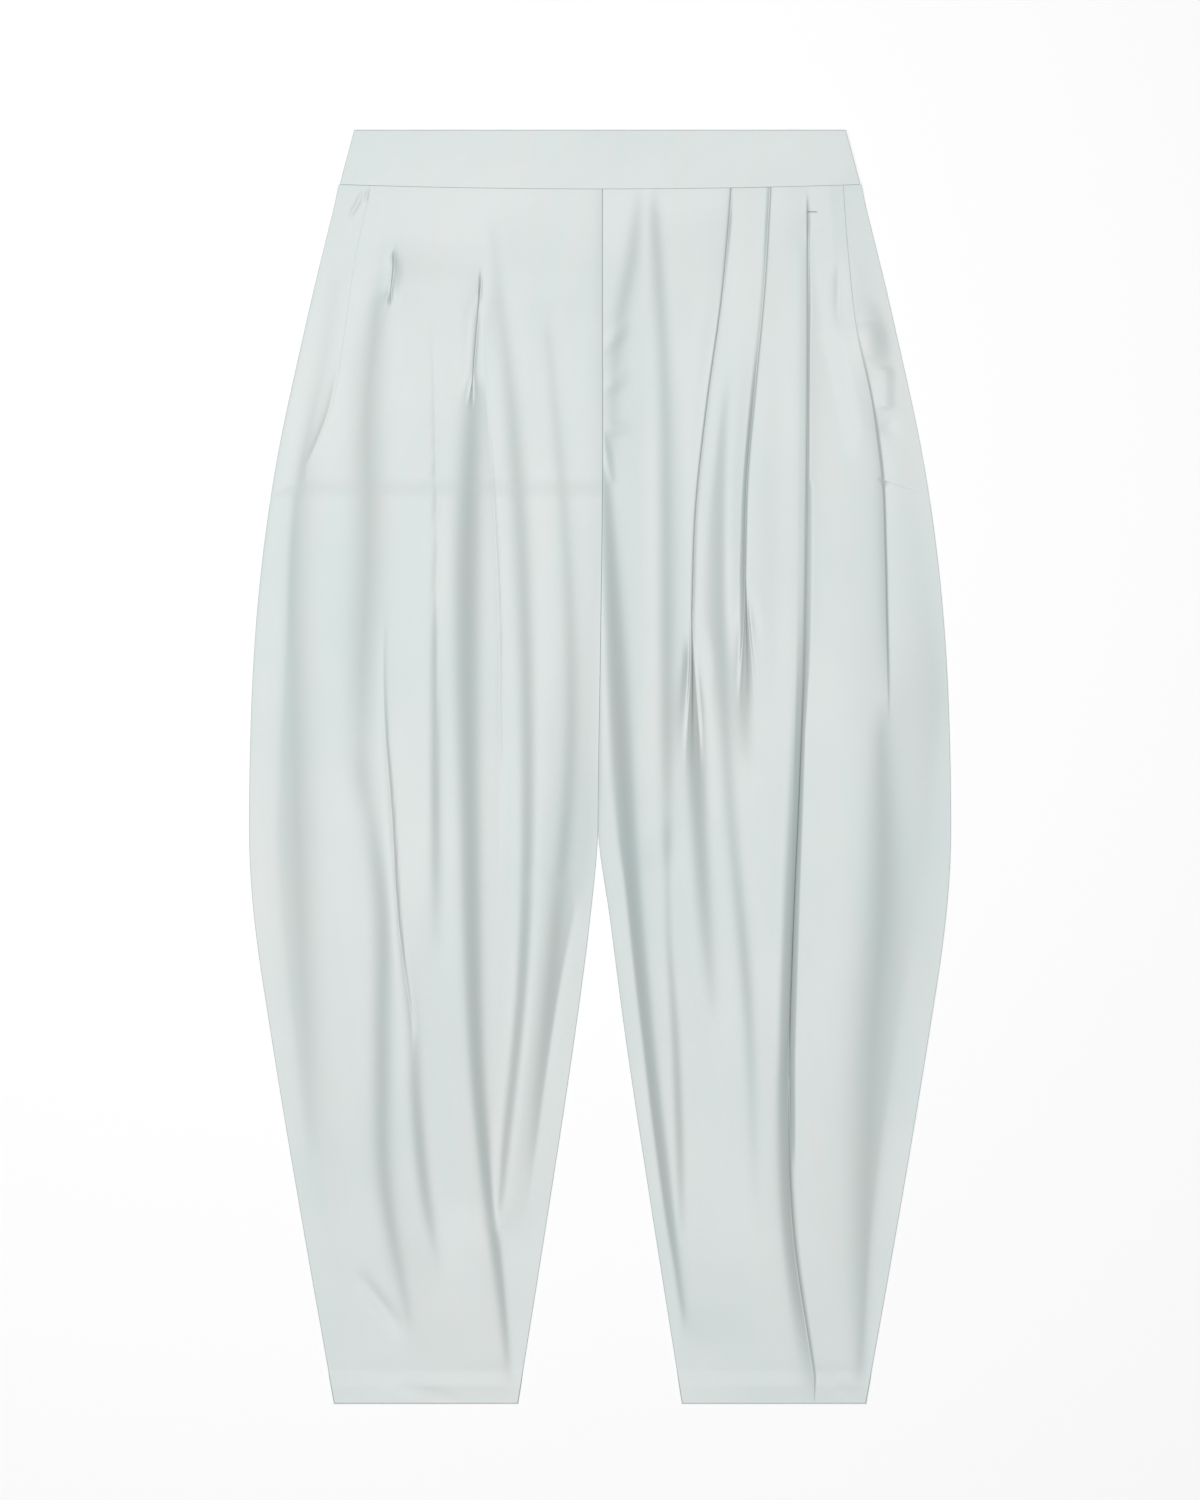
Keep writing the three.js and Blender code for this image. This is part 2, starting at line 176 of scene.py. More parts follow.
RIGHT_CREASES = [
    Crease("mouth ridge", 185, 264, (206, 209.5, 214.5, 222, 231), (0, 0.2, 0.3, 0.3, 0.1), 2.0, 4, 0.8),
    Crease("knee line", 375, 702, (169, 169, 163, 158, 147), (0, -0.35, -0.5, -0.6, -0.3), 3.5, 0.6, 0.1),
    Crease("middle line", 139, 480, (132, 130, 128.5, 129, 129.5), (0, -0.2, -0.3, -0.25, 0), 0.6, 3, 0.1),
    Crease("fine crease", 170, 600, (92, 84, 79, 78.5, 78.5), (-0.05, -0.2, -0.22, -0.16, 0), 3, 0.6, 0.1),
    Crease("inseam stripe", 615, 860, (20, 32, 42, 50, 58), (-0.3, -0.6, -0.5, -0.3, 0), 6, 6, 2),
]
RIGHT_WRINKLES = [
    Wrinkle("pocket top pinch", (182, 51), (184.5, 55), -0.7, 1.2),
    Wrinkle("pocket top crease", (187.5, 52.5), (196, 67), -0.7, 1.6),
    Wrinkle("shin stripe", (187, 903), (161, 937), -0.5, 5.0),
    Wrinkle("hem drag", (170, 983), (113, 998), -0.5, 2.5),
]

LEFT_MOUTH = (45, (191, 195.5, 202, 214, 221))
SIDE_LINE = (202, 214, 221.4, 223.6, 224.8, 226.2)
LONG_LINE = (163, 163, 162, 160.2, 156, 151, 148, 151.5, 168)
LEFT_PLEATS = [
    Pleat("outer pleat", "out", (47, 979), LONG_LINE,
          (50, 700), 50, 120, 5, 1.8, 0.6, (12, 24), 0.35, 0.3),
    Pleat("middle pleat", "in", (47, 350), (134, 129.5, 122.5, 116, 114),
          (47, 350), 0, 110, 9, 4.2, 1.0, (45, 18), 0.6, 1),
    Pleat("inner pleat", "out", (47, 380), (103, 95.5, 84, 75, 72),
          (47, 380), 0, 130, 11, 5.8, 2.6, (45, 22), 0.6, 1),
]
LEFT_SLOPES = [
    Slope("rise", 50, 245, (31, 25.5, 16, 11.4, 10), (0.9, 1.9, 1.7, 1.1, 0.6), (15, 17, 16, 13, 11)),
    Slope("front", 60, 560, (42, 50, 52, 52.5, 53), (-1.2, -3.4, -3.9, -3.6, -1.4), (13, 24, 26, 22, 16)),
    Slope("shin", 560, 860, (52.5, 54, 59, 62, 64), (-0.9, -1.0, -1.3, -1.4, -0.8), (10, 9, 9, 9, 10)),
    Slope("crotch", 262, 930, (4, 13.2, 24.5, 42, 64), (0.6, 4.6, 5.0, 3.6, 1.4), (6, 15, 12, 9, 9)),
    Slope("inner pleat", 415, 690, (72.5, 74.5, 78, 82.5, 88),
          (-2.0, -4.2, -3.4, -2.4, -1.0), (12, 17, 18, 18, 18)),
    Slope("middle pleat", 380, 505, (114.2, 113.5, 113.2, 114, 116),
          (1.0, 2.8, 2.8, 1.8, 0.4), (10, 13, 15, 17, 18)),
    Slope("side fold", 470, 975, (221, 222, 214, 209, 209),
          (-1.2, -4.2, -5.0, -3.8, -2.4), (18, 38, 50, 38, 20)),
    Slope("recess", 190, 840, (97, 94.5, 101, 115.5, 122), (0.4, 2.2, 1.4, 1.8, 0.6), (12, 15, 14, 14, 16)),
]
LEFT_CREASES = [
    Crease("long crease", 47, 979, LONG_LINE, (0, 0, 0, -0.3, -2.2, -3.2, -3.4, -3.0, -1.6), 0.6, 3.8, 0.05),
    Crease("side crease", 158.5, 442.2, SIDE_LINE, (-0.1, -0.4, -1.0, -1.3, -1.2, -0.2), 18, 7, 0.05),
    Crease("side swell", 158.5, 442.2, SIDE_LINE, (0.1, 0.4, 1.0, 1.3, 1.2, 0.2), 0.6, 14, 0.05),
    Crease("side streak", 100, 160, (187, 187, 187, 187, 187), (0, -0.5, -0.6, -0.5, 0), 5, 5, 2),
]
LEFT_WRINKLES = [
    Wrinkle("upper rise drag", (2.4, 172), (19.6, 155.5), -0.5, 3.2),
    Wrinkle("middle rise drag", (2.4, 203.5), (19.6, 193), -0.6, 3.2),
    Wrinkle("lower rise drag", (1.6, 235), (19.6, 233), -0.6, 3.2),
    Wrinkle("crotch drag", (2.4, 239.5), (8.6, 275), -0.5, 2.4),
    Wrinkle("fold above the ticket", (209, 150), (213, 182), 0.95, 13.0),
    Wrinkle("dent below the ticket", (224, 229), (230, 236), -0.4, 7.0),
    Wrinkle("hem pucker", (173, 979.5), (201, 994), -0.4, 3.0),
]

LEGS = [
    Leg("right", -1, RIGHT_MOUTH, 0.85, RIGHT_PLEATS, RIGHT_SLOPES, RIGHT_CREASES, RIGHT_WRINKLES,
        (38, 30, 56), 0.5),
    Leg("left", 1, LEFT_MOUTH, 0.0, LEFT_PLEATS, LEFT_SLOPES, LEFT_CREASES, LEFT_WRINKLES,
        (46, 4, 16, 36), 0.1),
]
for leg in LEGS:
    count = len(leg.slopes) + len(leg.creases) + len(leg.wrinkles)
    print(leg.name, "leg:", len(leg.pleats), "pleats,", count, "folds")

# %% [markdown]
# ## The shape of a front
#
# A front is a sheet whose height over the floor is a sum: a low loft, its long folds, its short wrinkles,
# and the step that each pleat makes. Everything is worked out for all rows at once, with arrays.

# %% Outline of a front
EDGE_RISE = 90.0
EDGE_ROLL = 5.0
FLOOR_SOFT = 0.6
HOLD = 0.9
HOLD_START, HOLD_END = 0.6 * CROTCH, 620.0
DROOP_RUN = 6.0
BAND_LIFT, BAND_LIFT_RUN = 0.7, 14.0
PLEAT_RELEASE = 130.0
LAYER_PITCH = 0.78
CRISP, PLEAT_SOFT = 0.02, 14.0


def inner_edge(leg, down):
    """The centre seam above the crotch, then the inseam."""
    gap = np.maximum(level("gap", down), 0)
    return leg.side * level("lean", down) + gap + SEAM_GAP / 2


def mouth_place(leg, down):
    start, out = leg.mouth
    return curve(np.linspace(start, MOUTH_END, len(out)), out, down)


def front_edge(leg, down):
    """The slanted pocket mouth, then the side seam."""
    closed = smoothstep(MOUTH_END, MOUTH_END + MOUTH_RUN, down)
    return lerp(mouth_place(leg, down), side_seam(down), closed)


def leg_width(leg, down):
    return side_seam(down) - inner_edge(leg, down)


# %% Pleats: place, how far each is shut, how much cloth it hides
def pleat_place(leg, pleat, down):
    """Its edge follows its own line, and past its ends it keeps its share of the leg's width."""
    held = np.clip(down, *pleat.line)
    line = curve(np.linspace(*pleat.line, len(pleat.out)), pleat.out, held)
    share = (side_seam(held) - line) / leg_width(leg, held)
    return side_seam(down) - share * leg_width(leg, down)


def begun(pleat, down):
    start = pleat.shut[0]
    return smoothstep(start, start + pleat.begins, down) if pleat.begins else 1.0


def shut(pleat, down):
    end = pleat.shut[1]
    return begun(pleat, down) * (1 - smoothstep(end, end + pleat.opens, down))


def softness(pleat, down):
    """A pleat's crisp step widens to a slope while the pleat opens."""
    return CRISP + PLEAT_SOFT * smoothstep(pleat.shut[1], pleat.shut[1] + pleat.opens, down)


def lap_of(pleat, down):
    start, end = pleat.shut
    let_out = smoothstep(lerp(start, end, 0.4), end + pleat.opens / 2, down)
    return pleat.lap * begun(pleat, down) * (1 - let_out)


def released(down):
    """From pressed flat in the waist seam to hanging free."""
    return smoothstep(WAIST_SEAM, WAIST_SEAM + PLEAT_RELEASE, down)


def stand_of(pleat, down):
    return lerp(2 * LAYER_PITCH, pleat.stand, released(down))


def gape_of(pleat, down):
    """How far the cloth beside the visible edge drops into the pleat, where it hangs free."""
    return pleat.gape * released(down)


def top_side(pleat):
    return 1 if pleat.faces == "in" else -1


# %% Height of a front
SLOPE_REACH = 45.0
FADE_OUTSIDE, FADE_INSIDE = 30, 10
FLUSH_RUN = (MOUTH_END - 40, MOUTH_END - 8)
RAISE_RUN = (-30, -10)


def along(fold, values, down):
    """A value given at even steps of a fold's run."""
    return curve(np.linspace(fold.start, fold.end, len(values)), values, down)


def within(fold, down):
    """Fades a fold in and out at its two ends."""
    begins = smoothstep(fold.start - FADE_OUTSIDE, fold.start + FADE_INSIDE, down)
    return begins * (1 - smoothstep(fold.end - FADE_INSIDE, fold.end + FADE_OUTSIDE, down))


def crease_height(crease, out, down):
    away = out - along(crease, crease.out, down)
    wide = np.where(away > 0, crease.outer, crease.inner)
    shape = np.exp(-(np.hypot(away, crease.blunt) - crease.blunt) / wide)
    return along(crease, crease.high, down) * within(crease, down) * shape


def slope_height(slope, out, down):
    away = out - along(slope, slope.out, down)
    shape = np.tanh(2 * away / along(slope, slope.wide, down)) * np.exp(-np.abs(away) / SLOPE_REACH)
    return along(slope, slope.rise, down) / 2 * within(slope, down) * shape


def wrinkle_height(wrinkle, out, down):
    """A short crease along a straight line, deepest in its middle."""
    start, end = np.array(wrinkle.start, float), np.array(wrinkle.end, float)
    run = end - start
    t = ((out - start[0]) * run[0] + (down - start[1]) * run[1]) / (run @ run)
    held = np.clip(t, 0, 1)
    away = np.hypot(out - start[0] - held * run[0], down - start[1] - held * run[1])
    return wrinkle.high * np.exp(-((away / wrinkle.wide) ** 2)) * (0.5 + 2 * held * (1 - held))


def flushness(leg, down):
    """How far the side piece is sunk under the front: wholly so towards the mouth's lower end."""
    return lerp(leg.flush, 1, smoothstep(*FLUSH_RUN, down))


def raised(leg, out, down):
    """How far the front stands over the common surface, because the side piece lies under it."""
    near = smoothstep(*RAISE_RUN, out - mouth_place(leg, down))
    return (CLOTH + SEAM_GAP) * (1 - flushness(leg, down)) * near


def height(leg, out, down, left_out=None):
    """Height of the cloth's middle, without the layers inside a pleat."""
    return surface(leg, out, down, left_out) + raised(leg, out, down)


def surface(leg, out, down, left_out=None):
    """The common surface of a front and of the side piece beyond it."""
    from_side = np.maximum(side_seam(down) - out, 0)
    from_inseam = np.maximum(out - inner_edge(leg, down), 0)
    hold = HOLD * (1 - smoothstep(HOLD_START, HOLD_END, down))
    rise = 1 - (1 - hold) * np.exp(-from_inseam / EDGE_RISE)
    loft = level("loft", down) * (1 - np.exp(-from_side / EDGE_RISE)) * rise
    folds = sum(slope_height(slope, out, down) for slope in leg.slopes)
    folds = folds + sum(crease_height(crease, out, down) for crease in leg.creases)
    folds = folds + sum(wrinkle_height(wrinkle, out, down) for wrinkle in leg.wrinkles)
    for pleat in leg.pleats:
        if pleat is left_out:
            continue
        away = (out - pleat_place(leg, pleat, down)) * top_side(pleat)
        past = np.where(away > 0, np.maximum(away - lap_of(pleat, down), 0), away)
        step = stand_of(pleat, down) / 2 * shut(pleat, down)
        upright = np.tanh(away / softness(pleat, down))
        run = np.where(away > 0, pleat.runs[0], pleat.runs[1])
        folds = folds + upright * step * np.exp(-((past / run) ** 2))
    folds = folds - leg.droop * np.exp(-from_inseam / DROOP_RUN) * (1 - smoothstep(CROTCH, HOLD_END, down))
    roll = (1 - np.exp(-from_side / EDGE_ROLL)) * (1 - (1 - hold) * np.exp(-from_inseam / EDGE_ROLL))
    wanted = loft + folds * roll
    low = FLOOR_SOFT * np.exp(np.minimum(wanted, FLOOR_SOFT) / FLOOR_SOFT - 1)
    settled = np.where(wanted > FLOOR_SOFT, wanted, low)
    into_band = BAND_LIFT * np.exp(-(down - WAIST_SEAM - WAIST_SAG) / BAND_LIFT_RUN)
    return REST_HEIGHT + settled + into_band


print("height of the left front at the thigh:", float(height(LEGS[1], 180.0, 500.0)), "mm")

# %% [markdown]
# ## From sections to a sheet
#
# Each front is built row by row from the waist seam to the hem. Across a row the points crowd where folds
# are, and at a pleat they follow the cloth round the visible edge, back under the top layer and out again,
# so a pleat is a real three-layer fold that can be looked into. The few corners of that path are cut twice
# to make it round.

# %% Points across a pleat, and between pleats
def cut_corners(points):
    """Chaikin's corner cutting along the second axis, which keeps the two end points."""
    first, second = points[:, :-1], points[:, 1:]
    near, far = 0.75 * first + 0.25 * second, 0.25 * first + 0.75 * second
    mixed = np.stack([near, far], axis=2).reshape(len(points), -1, points.shape[2])
    return np.concatenate([points[:, :1], mixed[:, 1:-1], points[:, -1:]], axis=1)


PRESSED_TURN = 0.4


def pleat_points(leg, pleat, down):
    """Section of one pleat at every height: top layer, visible edge, hidden turn, layer below."""
    edge = pleat_place(leg, pleat, down)
    lap, closed, stand = lap_of(pleat, down), shut(pleat, down), stand_of(pleat, down)
    turn = np.minimum(lerp(PRESSED_TURN, pleat.turn, released(down)), lap / 2)
    narrow = pleat.spacing * leg_width(leg, down) / leg_width(leg, pleat.shut[1])
    bottom = np.maximum(height(leg, edge, down, pleat) - stand / 2, REST_HEIGHT)
    top = bottom + stand
    deep = np.maximum(bottom - gape_of(pleat, down), REST_HEIGHT)
    near = pleat.spacing
    # place across when shut, place across when open, height when shut
    layers = [
        (lap + 5 * near, 12, None),
        (lap + near, 8, bottom + 2 * LAYER_PITCH),
        (turn, 5, top),
        (0, 3, top - LAYER_PITCH / 2),
        (turn, 1, top - LAYER_PITCH),
        (lap - turn, -1, bottom + LAYER_PITCH),
        (lap, -3, bottom + LAYER_PITCH / 2),
        (lap - turn, -5, bottom),
        (-0.2, -6, deep),
        (-0.9, -7, deep),
        (-1.4 - near, -9, None),
    ]
    points = []
    for k, (shut_at, open_at, pressed) in enumerate(layers):
        out = edge + top_side(pleat) * lerp(open_at * narrow, shut_at, closed)
        opened = height(leg, out, down)
        if k == 1:
            pressed = np.maximum(pressed, opened)
        z = opened if pressed is None else lerp(opened, pressed, closed)
        points.append(np.stack([out, z], axis=-1))
    section = cut_corners(cut_corners(np.stack(points, axis=1)))
    return section if pleat.faces == "in" else section[:, ::-1]


SLOPE_CROWD, CREASE_CROWD = 0.5, 8.0


def spread(leg, down, start, end, count):
    """Points between two places at every height, closer together where folds are."""
    samples = np.linspace(0, 1, 401)
    out = start[:, None] + (end - start)[:, None] * samples
    column = down[:, None]
    density = np.ones_like(out)
    for slope in leg.slopes:
        away = (out - along(slope, slope.out, column)) / along(slope, slope.wide, column)
        density += SLOPE_CROWD * np.abs(along(slope, slope.rise, column)) * np.exp(-(2 * away) ** 2)
    for crease in leg.creases:
        away = (out - along(crease, crease.out, column)) / (0.5 + min(crease.outer, crease.inner))
        depth = np.abs(along(crease, crease.high, column)) * within(crease, column)
        density += CREASE_CROWD * np.sqrt(depth) * np.exp(-away ** 2)
    grown = np.cumsum(density[:, 1:] + density[:, :-1], axis=1)
    sums = np.concatenate([np.zeros((len(down), 1)), grown], axis=1)
    wanted = np.linspace(0, 1, count + 2)[1:-1]
    places = np.array([np.interp(wanted * total[-1], total, row) for total, row in zip(sums, out)])
    return np.stack([places, height(leg, places, column)], axis=-1)


EDGE_STEPS = (0, 0.06, 0.4, 1.2, 2.4)


def front_sections(leg, down):
    """All sections of a front: array of rows, points, (out, height)."""
    def single(out):
        return np.stack([out, height(leg, out, down)], axis=-1)[:, None]

    outer, inner = front_edge(leg, down), inner_edge(leg, down)
    round_outer = [single(outer - step) for step in EDGE_STEPS]
    round_inner = [single(inner + step) for step in reversed(EDGE_STEPS)]
    parts = list(round_outer)
    for pleat, count in zip(leg.pleats, leg.columns):
        points = pleat_points(leg, pleat, down)
        parts += [spread(leg, down, parts[-1][:, -1, 0], points[:, 0, 0], count), points]
    parts += [spread(leg, down, parts[-1][:, -1, 0], round_inner[0][:, 0, 0], leg.columns[-1]), *round_inner]
    return np.concatenate(parts, axis=1)


# %% Rows from the waist seam to the hem
CLOSE_ROWS = np.array([0, 0.06, 0.3, 0.8])
MOUTH_FINENESS = 3.5


def leg_rows(close):
    """Heights of a leg's rows: about "close" mm apart, and closer at both ends and at the mouth's end."""
    start, slant, below = WAIST_SEAM + WAIST_SAG, MOUTH_END - 8, MOUTH_END + MOUTH_RUN + 6
    upper = np.linspace(start + 2, slant, round((slant - start) / close))[:-1]
    middle = np.linspace(slant, below, round(MOUTH_FINENESS * (below - slant) / close))
    lower = np.linspace(below, LENGTH - 2, round((LENGTH - below) / close))[1:]
    return np.concatenate([start + CLOSE_ROWS, upper, middle, lower, LENGTH - CLOSE_ROWS[::-1]])


FRONT_ROWS = leg_rows(5.0)
print("rows of a front:", len(FRONT_ROWS))

# %% [markdown]
# ## Walls of cloth
#
# A sheet gets its thickness by moving its middle points out along the surface's direction, half of the
# thickness each way, and joining the two skins round the border. The thickness runs out softly at the
# border, which makes each edge a rounded fold and not a cut slab. Solidify could do this too, but would
# fold over itself inside the pleats.

# %% A closed sheet from a grid of middle points
def directions(grid, axis):
    """Direction of the grid's lines, as the mean of the two unit steps at each point."""
    steps = np.diff(grid, axis=axis)
    steps /= np.maximum(np.linalg.norm(steps, axis=-1, keepdims=True), 1e-9)
    first, last = np.take(steps, [0], axis=axis), np.take(steps, [-1], axis=axis)
    return np.concatenate([first, steps], axis=axis) + np.concatenate([steps, last], axis=axis)


def closed_faces(rows, columns):
    index = np.arange(rows * columns).reshape(rows, columns)
    under = rows * columns

    def quads(a, b, c, d):
        return np.stack([a.ravel(), b.ravel(), c.ravel(), d.ravel()], axis=1)

    upper = quads(index[:-1, :-1], index[1:, :-1], index[1:, 1:], index[:-1, 1:])
    lower = upper[:, ::-1] + under
    left = quads(index[:-1, 0], index[:-1, 0] + under, index[1:, 0] + under, index[1:, 0])
    right = quads(index[1:, -1], index[1:, -1] + under, index[:-1, -1] + under, index[:-1, -1])
    top = quads(index[0, 1:], index[0, 1:] + under, index[0, :-1] + under, index[0, :-1])
    bottom = quads(index[-1, :-1], index[-1, :-1] + under, index[-1, 1:] + under, index[-1, 1:])
    return np.concatenate([upper, lower, left, right, top, bottom])


def sharpen_border(mesh, rows, columns):
    """Keeps the shading of the skins apart from the shading of the narrow wall round the border."""
    border = np.ones((rows, columns), bool)
    border[1:-1, 1:-1] = False
    border = np.concatenate([border.ravel(), border.ravel()])
    ends = np.empty(2 * len(mesh.edges), int)
    mesh.edges.foreach_get("vertices", ends)
    ends = ends.reshape(-1, 2)
    same_skin = (ends[:, 0] < rows * columns) == (ends[:, 1] < rows * columns)
    sharp = mesh.attributes.new("sharp_edge", "BOOLEAN", "EDGE")
    sharp.data.foreach_set("value", border[ends].all(axis=1) & same_skin)


def cloth_mesh(name, middle, thickness):
    """Closed mesh in metres from a grid of middle points in millimetres, with the flat cloth as its UV map."""
    normal = np.cross(directions(middle, 0), directions(middle, 1))
    # the border keeps its own line, so it moves neither sideways nor lengthwise
    normal[:, 0, 0] = normal[:, -1, 0] = 0
    normal[0, :, 1] = normal[-1, :, 1] = 0
    normal /= np.linalg.norm(normal, axis=-1, keepdims=True)
    half = normal * (np.asarray(thickness) / 2)[..., None]
    rows, columns = middle.shape[:2]
    points = np.concatenate([(middle + half).reshape(-1, 3), (middle - half).reshape(-1, 3)]) * MM
    faces = closed_faces(rows, columns)
    mesh = bpy.data.meshes.new(name)
    mesh.from_pydata(points.tolist(), [], faces.tolist())
    steps = np.linalg.norm(np.diff(middle, axis=1, prepend=middle[:, :1]), axis=-1)
    across = np.cumsum(steps, axis=1)
    flat = np.stack([across, -middle[..., 1]], axis=-1).reshape(-1, 2) * MM
    uv = mesh.uv_layers.new(name="cloth")
    uv.data.foreach_set("uv", np.concatenate([flat, flat])[faces.ravel()].ravel())
    mesh.shade_smooth()
    sharpen_border(mesh, rows, columns)
    piece = bpy.data.objects.new(name, mesh)
    bpy.context.scene.collection.objects.link(piece)
    cells = np.cross(np.diff(middle, axis=0)[:, :-1], np.diff(middle, axis=1)[:-1])
    skin = np.linalg.norm(cells, axis=-1).sum() * MM ** 2
    print(f"{name}: {len(points)} points, {2 * len(faces)} triangles, {skin:.4f} m2 of cloth")
    return piece


EDGE_SHARE = 0.75
SEAM_BLEND = 12.0


def edge_taper(rows, columns):
    """Share of the full thickness at each point, a little less on the outermost columns."""
    share = np.ones((rows, columns))
    share[:, [0, -1]] = EDGE_SHARE
    return share


def place(leg, sections, down):
    """Sections to points in the frame, sorted along +X, the first row along the waist seam."""
    x = leg.side * sections[..., 0]
    below = np.repeat(down[:, None], x.shape[1], axis=1)
    seam = waist_seam(x) + SEAM_GAP / 2
    first = down[0]
    blend = np.clip(1 - (below - first) / SEAM_BLEND, 0, 1)
    below = below + (seam - first) * blend
    grid = np.stack([x, LENGTH / 2 - below, sections[..., 1]], axis=-1)
    return grid[:, ::-1] if leg.side > 0 else grid


# %% [markdown]
# ## Fronts and backs
#
# The hem is the leg's own cloth turned up inside, so the last 20 mm are two layers thick and a faint step
# shows where the turned-up edge lies. The backs rest flat on the floor, with only shallow ripples.

# %% Fronts
HEM_LAYER = 0.9
HEM_STEP = 0.15
FEATHERED = 0.94
FEATHER_LIFT = 0.03
FEATHER_END = MOUTH_END + MOUTH_RUN


def hem_thickness(down):
    turned = smoothstep(LENGTH - HEM_TURN - 1, LENGTH - HEM_TURN + 1, down)
    rounded = lerp(EDGE_SHARE, 1, np.clip((LENGTH - down) / CLOSE_ROWS[1], 0, 1))
    return CLOTH * (1 + HEM_LAYER * turned) * rounded


def feather(leg, out, down):
    """Share of the thickness that is left where the front's edge runs out flush with the side piece."""
    inside = np.maximum(front_edge(leg, down) - out, 0)
    wanted = flushness(leg, down) * (1 - smoothstep(FEATHER_END, FEATHER_END + 8, down))
    return 1 - FEATHERED * wanted * (1 - smoothstep(0, POCKET_TUCK, inside))


def front_leg(leg):
    down = FRONT_ROWS
    sections = front_sections(leg, down)
    thin = feather(leg, sections[..., 0], down[:, None])
    sections[..., 1] += (CLOTH / 2 + FEATHER_LIFT) * (1 - thin)
    sections[..., 1] += HEM_STEP * smoothstep(LENGTH - HEM_TURN - 2, LENGTH - HEM_TURN + 2, down)[:, None]
    grid = place(leg, sections, down)
    thin = thin[:, ::-1] if leg.side > 0 else thin
    thickness = hem_thickness(down)[:, None] * edge_taper(*grid.shape[:2]) * thin
    return cloth_mesh(f"front_leg_{leg.name}_cloth", grid, thickness)


fronts = {leg.name: front_leg(leg) for leg in LEGS}


# %% Backs
Ripple = namedtuple("Ripple", "high across along")
BACK_RIPPLES = [Ripple(0.25, 17, 140), Ripple(0.2, 29, -90)]
BACK_LIFT = 0.25


def back_leg(leg):
    down = leg_rows(8.0)
    edge = np.array([0, 0.0003, 0.0015, 0.004])
    share = np.concatenate([edge, np.linspace(0.012, 0.988, 56), 1 - edge[::-1]])
    out = lerp(side_seam(down)[:, None], inner_edge(leg, down)[:, None], share)
    ripple = sum(r.high * np.sin(out / r.across + down[:, None] / r.along) for r in BACK_RIPPLES)
    thickness = hem_thickness(down)[:, None] * edge_taper(*out.shape)
    sections = np.stack([out, thickness / 2 + BACK_LIFT + 0.5 * ripple], axis=-1)
    grid = place(leg, sections, down)
    return cloth_mesh(f"back_leg_{leg.name}_cloth", grid, thickness)


backs = {leg.name: back_leg(leg) for leg in LEGS}

# %% [markdown]
# ## Pocket side pieces
#
# Beyond each slanted mouth the pocket's side piece shows. It lies on the back and goes 10 mm under the
# front's edge. On the wearer's left a small folded ticket inside presses through it as a plain low
# rectangle.

# %% Side pieces
PRESSED = {"out": (213.5, 224.3), "down": (187.3, 218.4), "high": 0.26, "soft": 2.2}


def pressed_through(out, down):
    soft = PRESSED["soft"]
    (near, far), (first, last) = PRESSED["out"], PRESSED["down"]
    across = smoothstep(near - soft, far, out) * (1 - smoothstep(far, far + 4 * soft, out))
    lengthwise = smoothstep(first - soft, first + soft, down)
    lengthwise = lengthwise * (1 - smoothstep(last - soft, last + soft, down))
    return PRESSED["high"] * across * lengthwise


def pocket_side(leg):
    down = np.linspace(WAIST_SEAM + WAIST_SAG, MOUTH_END + MOUTH_RUN + 4, 150)
    share = np.concatenate([[0, 0.001, 0.006, 0.015], np.linspace(0.03, 1, 70)])
    inner = mouth_place(leg, down) - POCKET_TUCK
    out = lerp(side_seam(down)[:, None], inner[:, None], share)
    column = down[:, None]
    under = smoothstep(1, POCKET_TUCK, front_edge(leg, column) - out)
    z = surface(leg, out, column) - (CLOTH + 2 * SEAM_GAP) * flushness(leg, column) * under
    if leg.name == "left":
        z = z + pressed_through(out, column)
    grid = place(leg, np.stack([out, z], axis=-1), down)
    return cloth_mesh(f"pocket_side_{leg.name}_cloth", grid, CLOTH * edge_taper(*grid.shape[:2]))


pocket_sides = {leg.name: pocket_side(leg) for leg in LEGS}

# %% [markdown]
# ## Waistband
#
# The band is one folded strip all round. Laid flat it gives two flat tubes of cloth on each other, each
# rounded along its fold at the top and along the seam below.

# %% Band halves
BAND_ROUND = 0.3


def waistband(name, bottom):
    near = np.array([0, 0.06, 0.2, 0.5, 1.1]) / WAIST_SEAM
    part = np.concatenate([near, np.linspace(0.04, 0.96, 26), 1 - near[::-1]])
    edge = np.array([-1, -0.9997, -0.998, -0.995])
    across = np.concatenate([edge, np.linspace(-0.99, 0.99, 130), -edge[::-1]])
    x = across * side_seam(part * WAIST_SEAM)[:, None]
    seam = waist_seam(x) - SEAM_GAP
    down = part[:, None] * seam
    from_edge = np.minimum(down, seam - down)
    soft = np.where(down < seam / 2, BAND_ROUND, BAND_ROUND / 3)
    full = np.sqrt(np.clip(1 - (1 - np.clip(from_edge / soft, 0, 1)) ** 2, 0.5, 1))
    thickness = BAND_CLOTH * full * edge_taper(*x.shape)
    ripple = 0.12 * np.sin(x / 31 + 1.3) * np.sin(down / 14) + 0.1 * np.sin(x / 11 + down / 9)
    middle = np.stack([x, LENGTH / 2 - down, bottom + BAND_CLOTH / 2 + ripple], axis=-1)
    return cloth_mesh(name, middle, thickness)


bands = {
    "front": waistband("waistband_front_cloth", BAND_CLOTH + 0.25),
    "back": waistband("waistband_back_cloth", 0.15),
}

# %% [markdown]
# ## Shader maths
#
# Patterns are written as sums on sockets. A small class wraps one socket, so that an expression such as
# `0.5 + 0.5 * wave` adds the Math nodes by itself.

